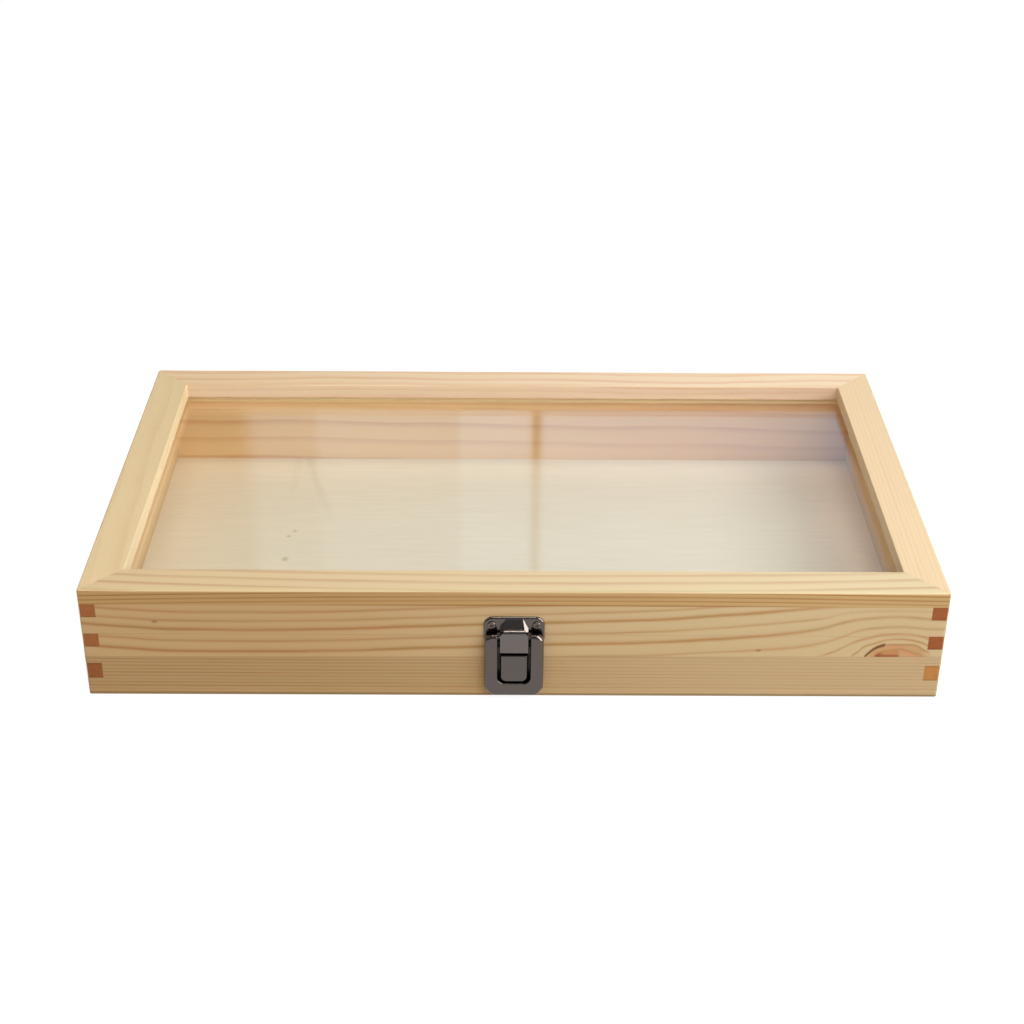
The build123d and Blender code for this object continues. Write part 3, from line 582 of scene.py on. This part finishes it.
# ---------------------------------------------------------------- the bottom: pale plywood
def plywood():
    g = Graph("plywood")
    x, y, z = g.xyz()
    nx, ny, nz = g.normal()
    big = g.noise(x / 120.0, y / 60.0, 0.0, detail=2.0)
    grain = g.noise(x / 42.0, y / 2.4, 0.0, detail=4.0, rough=0.6)
    fib = g.noise(x / 9.0, y / 0.30, z / 0.3, detail=2.0)
    pore = g.smooth(g.noise(x / 2.6, y / 0.36, 3.0, detail=0.0), 0.66, 0.92)
    col = g.mix(g.clamp(big * 0.5 + 0.5), lin(232, 221, 198), lin(226, 214, 190))
    col = g.mix(g.clamp(grain * 0.35 + 0.18), col, lin(214, 196, 164))
    col = g.scale_colour(col, 1.0 + fib * 0.018 - pore * 0.06)
    for px_, py_, r_ in ((-125.4, -2.0, 2.1), (-122.8, 28.0, 1.3), (-125.8, 22.4, 1.3)):
        d = g.sqrt((x - px_) * (x - px_) + (y - py_) * (y - py_) * 0.55)
        col = g.mix(g.smooth(d + g.noise(x / 1.5, y / 1.5, 0.0) * 0.4, 0.2 * r_, r_ * 1.3, 0.46, 0.0), col, lin(150, 128, 80))
    # a greyish ghost of figure near the left end
    gh = g.noise(x / 26.0 + 4.0, y / 38.0, 1.0, detail=3.0)
    col = g.mix(g.smooth(gh, 0.50, 1.0, 0.0, 0.46) * g.smooth(g.absolute(x + 105.0), 20.0, 75.0, 1.0, 0.0), col, lin(206, 196, 158))
    # two faint mineral streaks that run together towards the back
    ks = g.absolute((x + 122.1) * 0.968 + (y - 111.5) * 0.250) + g.noise(x / 8.0, y / 12.0, 2.0) * 1.6
    ks = g.smooth(ks, 0.0, 3.6, 0.13, 0.0) * g.smooth(y, 28.0, 66.0)
    ks = ks + g.smooth(g.absolute(x + 128.7), 0.0, 3.2, 0.075, 0.0) * g.smooth(y, 55.0, 80.0)
    col = g.mix(ks, col, lin(158, 138, 100))
    # plies on the edges
    ply = g.fract(z / 1.34)
    edge = g.smooth(g.absolute(nz), 0.3, 0.6, 1.0, 0.0)
    col = g.mix(edge * g.smooth(ply, 0.42, 0.5), col, lin(176, 132, 86))
    col = g.grade(col, (1.07, 1.045, 1.02), (1.07, 1.06, 1.09), lo=-200.0, hi=200.0)
    col = g.scale_colour(col, 1.0 - g.bell(x - 10.0, 95.0) * 0.045)
    # painted light: the right-hand end, in the shadow of the right wall, is lightened
    col = g.mix(g.smooth(x, 150.0, 203.0), col, g.times(col, (1.26, 1.17, 1.13)))
    h = fib * 0.5 + grain * 0.6 - pore
    g.principled(col, g.clamp(0.62 + grain * 0.05 + fib * 0.03, 0.3, 0.95), height=h, bump=0.3, bump_mm=0.03, spec=0.35)
    return g.mat


M["plywood"] = plywood()


# ---------------------------------------------------------------- glass
def glass():
    g = Graph("float_glass")
    x, y, z = g.xyz()
    ge = g.node("ShaderNodeNewGeometry")
    ior = g.lerp(1.52, 1.0 / 1.52, S(g, ge.outputs["Backfacing"]))
    fr = g.node("ShaderNodeFresnel")
    g.link(ior, fr.inputs["IOR"])
    smear = g.noise(x / 60.0, y / 34.0, 0.0, detail=3.0)
    dust = g.smooth(g.noise(x / 0.9, y / 0.9, z, detail=0.0), 0.93, 1.12)
    wave = g.noise(x / 90.0, y / 90.0, 0.0, detail=0.0)
    b = g.node("ShaderNodeBump")
    b.inputs["Strength"].default_value = 0.25
    b.inputs["Distance"].default_value = 0.00004
    g.link(wave, b.inputs["Height"])
    tr = g.node("ShaderNodeBsdfTransparent")
    g.link(g.mix(g.clamp(dust * 0.04 + 0.01), (0.985, 0.993, 0.988, 1.0), (0.90, 0.91, 0.90, 1.0)), tr.inputs["Color"])
    gl = g.node("ShaderNodeBsdfGlossy")
    gl.inputs["Color"].default_value = (1.0, 1.0, 1.0, 1.0)
    g.link(g.clamp(0.010 + smear * 0.006, 0.003, 0.05), gl.inputs["Roughness"])
    g.nt.links.new(b.outputs[0], gl.inputs["Normal"])
    mx = g.node("ShaderNodeMixShader")
    g.link(g.clamp(S(g, fr.outputs[0]) * (1.0 + smear * 0.04)), mx.inputs[0])
    g.nt.links.new(tr.outputs[0], mx.inputs[1])
    g.nt.links.new(gl.outputs[0], mx.inputs[2])
    g.nt.links.new(mx.outputs[0], g.out.inputs["Surface"])
    return g.mat


M["glass"] = glass()


# ---------------------------------------------------------------- dark nickel plate
def nickel(name, base=(0.140, 0.115, 0.107), rough=0.17, worn=0.6, seed=0.0, radius=0.35, deep=(0.30, 0.62)):
    g = Graph(name)
    x, y, z = g.xyz()
    smudge = g.noise(x / 7.0 + seed, y / 7.0, z / 9.0, detail=3.0)
    fine = g.noise(x / 1.1, y / 1.1, z / 1.1 + seed, detail=3.0, rough=0.65)
    hair = g.noise(x / 0.16 + z / 1.1, y / 0.4, z / 7.0 + seed, detail=1.0)
    hair = g.smooth(hair, 0.75, 1.05)
    bv = g.node("ShaderNodeBevel", samples=4)
    bv.inputs["Radius"].default_value = radius / 1000.0
    ge = g.node("ShaderNodeNewGeometry")
    dt = g.node("ShaderNodeVectorMath", operation="DOT_PRODUCT")
    g.nt.links.new(bv.outputs[0], dt.inputs[0])
    g.nt.links.new(ge.outputs["Normal"], dt.inputs[1])
    edge = g.smooth(S(g, dt.outputs["Value"]) + fine * 0.01, 0.80, 0.985, 1.0, 0.0)
    dark = (*base, 1.0)
    warm = (base[0] * 1.10, base[1] * 1.02, base[2] * 0.98, 1.0)
    bare_metal_and_highlight = (0.42, 0.39, 0.36, 1.0)
    col = g.mix(g.clamp(smudge * 0.5 + 0.5), dark, warm)
    col = g.scale_colour(col, 1.0 + fine * 0.03)
    # pale on the edges: partly wear through the plating, partly painted highlight
    col = g.mix(edge * worn, col, bare_metal_and_highlight)
    col = g.mix(hair * 0.12, col, (0.34, 0.32, 0.30, 1.0))
    # painted shade in the gaps: near black, and rougher, where ambient occlusion is high
    ao = g.node("ShaderNodeAmbientOcclusion", samples=8)
    ao.inputs["Distance"].default_value = 0.004
    open_ = g.smooth(S(g, ao.outputs["AO"]), deep[0], deep[1])
    col = g.mix(open_, (0.006, 0.005, 0.005, 1.0), col)
    r = rough + smudge * 0.03 + fine * 0.02 + hair * 0.08 + edge * 0.05 + (1.0 - open_) * 0.35
    h = fine * 0.35 + smudge * 0.4
    g.principled(col, g.clamp(r, 0.05, 0.6), metallic=1.0, height=h, bump=0.25, bump_mm=0.012)
    return g.mat


M["nickel"] = nickel("dark_nickel", base=(0.141, 0.127, 0.118))
M["nickel_hook"] = nickel("dark_nickel_hook", base=(0.192, 0.174, 0.166), seed=9.0)
M["nickel_screw"] = nickel("dark_nickel_screw", base=(0.175, 0.150, 0.140), rough=0.22, worn=0.7, seed=3.0, radius=0.2)
M["nickel_hinge"] = nickel("dark_nickel_hinge", base=(0.20, 0.175, 0.160), rough=0.24, worn=0.5, seed=6.0, radius=0.3)

ASSIGN = {
    "base_front_board": "front", "lid_front_board": "front",
    "base_back_board": "back", "lid_back_board": "back",
    "base_left_board": "side_left", "lid_left_board": "side_left",
    "base_right_board": "side_right", "lid_right_board": "side_right",
    "bottom_panel": "plywood",
    "frame_front_rail": "rail_front", "frame_back_rail": "rail_back",
    "frame_left_rail": "rail_left", "frame_right_rail": "rail_right",
    "glass_pane": "glass",
    "glass_bead_front": "bead_x", "glass_bead_back": "bead_x",
    "glass_bead_left": "bead_y", "glass_bead_right": "bead_y",
    "strike_plate": "nickel", "latch_base_plate": "nickel", "latch_lever": "nickel", "latch_hook": "nickel_hook",
    "latch_lever_pin": "nickel", "latch_hook_pin": "nickel",
    "strike_screws": "nickel_screw", "latch_base_screws": "nickel_screw",
    "hinge_left_base_leaf": "nickel_hinge", "hinge_right_base_leaf": "nickel_hinge",
    "hinge_left_lid_leaf": "nickel_hinge", "hinge_right_lid_leaf": "nickel_hinge",
    "hinge_left_pin": "nickel_hinge", "hinge_right_pin": "nickel_hinge",
    "hinge_base_screws": "nickel_screw", "hinge_lid_screws": "nickel_screw",
}
for node, key in ASSIGN.items():
    o = NODES[node]
    o.data.materials.clear()
    o.data.materials.append(M[key])

# ================================================================ studio
FLOOR_SEEN, FLOOR_GLOSSY, FLOOR_BOUNCE = 0.92, 0.80, 0.62
WORLD_DIFFUSE, WORLD_GLOSSY = 0.22, 0.05


def plane(name, verts, mat):
    me = bpy.data.meshes.new(name)
    me.from_pydata(verts, [], [tuple(range(len(verts)))])
    me.materials.append(mat)
    o = bpy.data.objects.new(name, me)
    bpy.context.scene.collection.objects.link(o)
    return o


def floor_material():
    """White where it is looked at, a mid-grey table where it is mirrored in metal, and dull where it throws light back."""
    g = Graph("pale_floor")
    x, y, z = g.xyz()
    n = g.noise(x / 300.0, y / 300.0, 0.0, detail=2.0)
    col = g.mix(g.clamp(n * 0.5 + 0.5), (0.16, 0.16, 0.16, 1.0), (0.15, 0.15, 0.15, 1.0))
    p = g.principled(col, 0.85, spec=0.0)
    p.inputs["Emission Color"].default_value = (1.0, 1.0, 1.0, 1.0)
    p.inputs["Emission Strength"].default_value = FLOOR_SEEN
    lp = g.node("ShaderNodeLightPath")
    glo = g.node("ShaderNodeEmission", name="floor_glossy")
    glo.inputs["Color"].default_value = (1.0, 0.985, 0.97, 1.0)
    glo.inputs["Strength"].default_value = FLOOR_GLOSSY
    dif = g.node("ShaderNodeEmission", name="floor_diffuse")
    dif.inputs["Color"].default_value = (1.0, 0.66, 0.14, 1.0)
    dif.inputs["Strength"].default_value = FLOOR_BOUNCE
    m1 = g.node("ShaderNodeMixShader")
    m2 = g.node("ShaderNodeMixShader")
    g.nt.links.new(lp.outputs["Is Diffuse Ray"], m1.inputs[0])
    g.nt.links.new(p.outputs[0], m1.inputs[1])
    g.nt.links.new(dif.outputs[0], m1.inputs[2])
    g.nt.links.new(lp.outputs["Is Glossy Ray"], m2.inputs[0])
    g.nt.links.new(m1.outputs[0], m2.inputs[1])
    g.nt.links.new(glo.outputs[0], m2.inputs[2])
    g.nt.links.new(m2.outputs[0], g.out.inputs["Surface"])
    return g.mat


floor = plane("studio_floor", [(-6, -6, -0.0004), (6, -6, -0.0004), (6, 6, -0.0004), (-6, 6, -0.0004)], floor_material())


def screen_material():
    """A bluish-white studio wall behind the case, in panels with a dark gap; only gloss sees it."""
    g = Graph("studio_screen")
    tc = g.node("ShaderNodeTexCoord")
    sp = g.node("ShaderNodeSeparateXYZ")
    g.nt.links.new(tc.outputs["Object"], sp.inputs[0])
    x = S(g, sp.outputs[0])
    z = S(g, sp.outputs[2])
    lev = (g.smooth(x, -0.395, -0.355, 0.05, 0.42) + g.smooth(x, -0.285, -0.268, 0.0, 0.20) + g.smooth(x, -0.074, -0.060, 0.0, 0.24)
           + g.smooth(x, 0.30, 0.62, 0.0, -0.15))
    gap = g.bell(x - 0.0455, 0.0085)
    lev = lev * (1.0 - gap * 0.9) * g.smooth(z, 0.83, 0.90, 1.7, 1.0)
    em = g.node("ShaderNodeEmission")
    em.inputs["Color"].default_value = (0.52, 0.74, 0.92, 1.0)
    g.link(lev, em.inputs["Strength"])
    g.nt.links.new(em.outputs[0], g.out.inputs["Surface"])
    return g.mat


screen = plane("studio_screen", [(-1.3, 1.5, 0.35), (1.3, 1.5, 0.35), (1.3, 1.5, 1.45), (-1.3, 1.5, 1.45)], screen_material())
for flag in ("visible_camera", "visible_diffuse", "visible_shadow", "visible_transmission", "visible_volume_scatter"):
    setattr(screen, flag, False)


def panel_material():
    """A softbox standing at the right of the case; only gloss sees it."""
    g = Graph("studio_panel")
    em = g.node("ShaderNodeEmission")
    em.inputs["Color"].default_value = (1.0, 0.98, 0.97, 1.0)
    tc = g.node("ShaderNodeTexCoord")
    sp = g.node("ShaderNodeSeparateXYZ")
    g.nt.links.new(tc.outputs["Object"], sp.inputs[0])
    y, z = S(g, sp.outputs[1]), S(g, sp.outputs[2])
    soft = g.smooth(y, -1.15, -0.90) * g.smooth(y, 0.20, 0.55, 1.0, 0.0) * g.smooth(z, 1.25, 1.65, 1.0, 0.0)
    g.link(soft * PANEL, em.inputs["Strength"])
    g.nt.links.new(em.outputs[0], g.out.inputs["Surface"])
    return g.mat


PANEL = 7.0
panel = plane("studio_panel", [(1.25, -1.15, -0.0002), (1.25, 0.55, -0.0002), (1.00, 0.55, 1.65), (1.00, -1.15, 1.65)], panel_material())
for flag in ("visible_camera", "visible_diffuse", "visible_shadow", "visible_transmission", "visible_volume_scatter"):
    setattr(panel, flag, False)


def area(name, loc, target, size, size_y, power, colour=(1, 1, 1), camera=False):
    li = bpy.data.lights.new(name, "AREA")
    li.shape = "RECTANGLE"
    li.size, li.size_y = size, size_y
    li.energy = power
    li.color = colour
    o = bpy.data.objects.new(name, li)
    bpy.context.scene.collection.objects.link(o)
    o.location = loc
    o.rotation_mode = "QUATERNION"
    o.rotation_quaternion = (Vector(target) - Vector(loc)).to_track_quat("-Z", "Y")
    o.visible_camera = camera
    return o


area("key", (1.15, -0.25, 1.25), (0.0, 0.0, 0.03), 0.9, 0.9, 13.0, (0.97, 1.0, 1.03))
area("overhead", (-0.05, -0.15, 1.6), (0.0, 0.0, 0.0), 0.7, 0.3, 5.6, (1.03, 1.0, 0.95))
front_top = area("front_top", (0.45, -1.5, 1.45), (0.0, 0.0, 0.03), 1.1, 0.7, 16.8, (1.0, 1.0, 1.0))
front_top.visible_glossy = False
right_front = area("right_front", (1.3, -1.2, 0.8), (0.0, 0.0, 0.03), 0.9, 0.7, 6.8, (1.0, 1.0, 1.0))
right_front.visible_glossy = False
fill = area("fill", (-1.3, -1.3, 0.7), (0.0, 0.0, 0.03), 0.9, 0.7, 3.5, (1.0, 1.0, 1.0))
fill.visible_glossy = False
area("left_top", (-1.2, -0.2, 1.2), (0.0, 0.0, 0.03), 0.9, 0.9, 1.0, (1.0, 1.0, 1.0))
area("back_top", (0.0, 1.3, 1.4), (0.0, 0.0, 0.03), 1.4, 0.8, 3.5, (1.0, 1.0, 1.0))

world = bpy.data.worlds.new("studio")
bpy.context.scene.world = world
world.use_nodes = True
wn = world.node_tree
wn.nodes.clear()


def wnode(kind, **props):
    n = wn.nodes.new(kind)
    for k, v in props.items():
        setattr(n, k, v)
    return n


wo = wnode("ShaderNodeOutputWorld")
bg_cam = wnode("ShaderNodeBackground", name="world_camera")
bg_cam.inputs[0].default_value = (1, 1, 1, 1)
bg_cam.inputs[1].default_value = 1.0
bg_dif = wnode("ShaderNodeBackground", name="world_diffuse")
bg_dif.inputs[0].default_value = (1.0, 1.0, 1.0, 1)
bg_dif.inputs[1].default_value = WORLD_DIFFUSE
# what metal and glass mirror: a dim room, a little lighter in front of the case
tc = wnode("ShaderNodeTexCoord")
sx = wnode("ShaderNodeSeparateXYZ")
wn.links.new(tc.outputs["Generated"], sx.inputs[0])
toward = wnode("ShaderNodeMapRange", interpolation_type="SMOOTHSTEP")
toward.inputs["From Min"].default_value = 0.2
toward.inputs["From Max"].default_value = -0.6
toward.inputs["To Min"].default_value = WORLD_GLOSSY
toward.inputs["To Max"].default_value = 0.22
wn.links.new(sx.outputs["Y"], toward.inputs["Value"])
bg_glo = wnode("ShaderNodeBackground", name="world_glossy")
bg_glo.inputs[0].default_value = (0.95, 0.98, 1.0, 1)
wn.links.new(toward.outputs["Result"], bg_glo.inputs[1])
lp = wnode("ShaderNodeLightPath")
m1 = wnode("ShaderNodeMixShader")
m2 = wnode("ShaderNodeMixShader")
wn.links.new(lp.outputs["Is Glossy Ray"], m1.inputs[0])
wn.links.new(bg_dif.outputs[0], m1.inputs[1])
wn.links.new(bg_glo.outputs[0], m1.inputs[2])
wn.links.new(lp.outputs["Is Camera Ray"], m2.inputs[0])
wn.links.new(m1.outputs[0], m2.inputs[1])
wn.links.new(bg_cam.outputs[0], m2.inputs[2])
wn.links.new(m2.outputs[0], wo.inputs[0])

# ================================================================ camera
cam_data = bpy.data.cameras.new("camera")
cam = bpy.data.objects.new("camera", cam_data)
bpy.context.scene.collection.objects.link(cam)
cam_data.sensor_width = 36.0
cam_data.lens = 63.83
cam_data.clip_start, cam_data.clip_end = 0.02, 40.0
YAW, PITCH, ROLL = 0.0074, 0.5278, 0.008
fwd = Vector((math.sin(YAW) * math.cos(PITCH), math.cos(YAW) * math.cos(PITCH), -math.sin(PITCH)))
right = Vector((math.cos(YAW), -math.sin(YAW), 0.0))
up = right.cross(fwd)
r_ = math.cos(ROLL) * right + math.sin(ROLL) * up
u_ = -math.sin(ROLL) * right + math.cos(ROLL) * up
cam.matrix_world = Matrix((
    (r_.x, u_.x, -fwd.x, -0.00693),
    (r_.y, u_.y, -fwd.y, -0.85219),
    (r_.z, u_.z, -fwd.z, 0.53222),
    (0, 0, 0, 1)))
bpy.context.scene.camera = cam

vs = bpy.context.scene.view_settings
vs.view_transform = "Standard"
vs.look = "None"
vs.exposure = 0.0
vs.gamma = 1.0
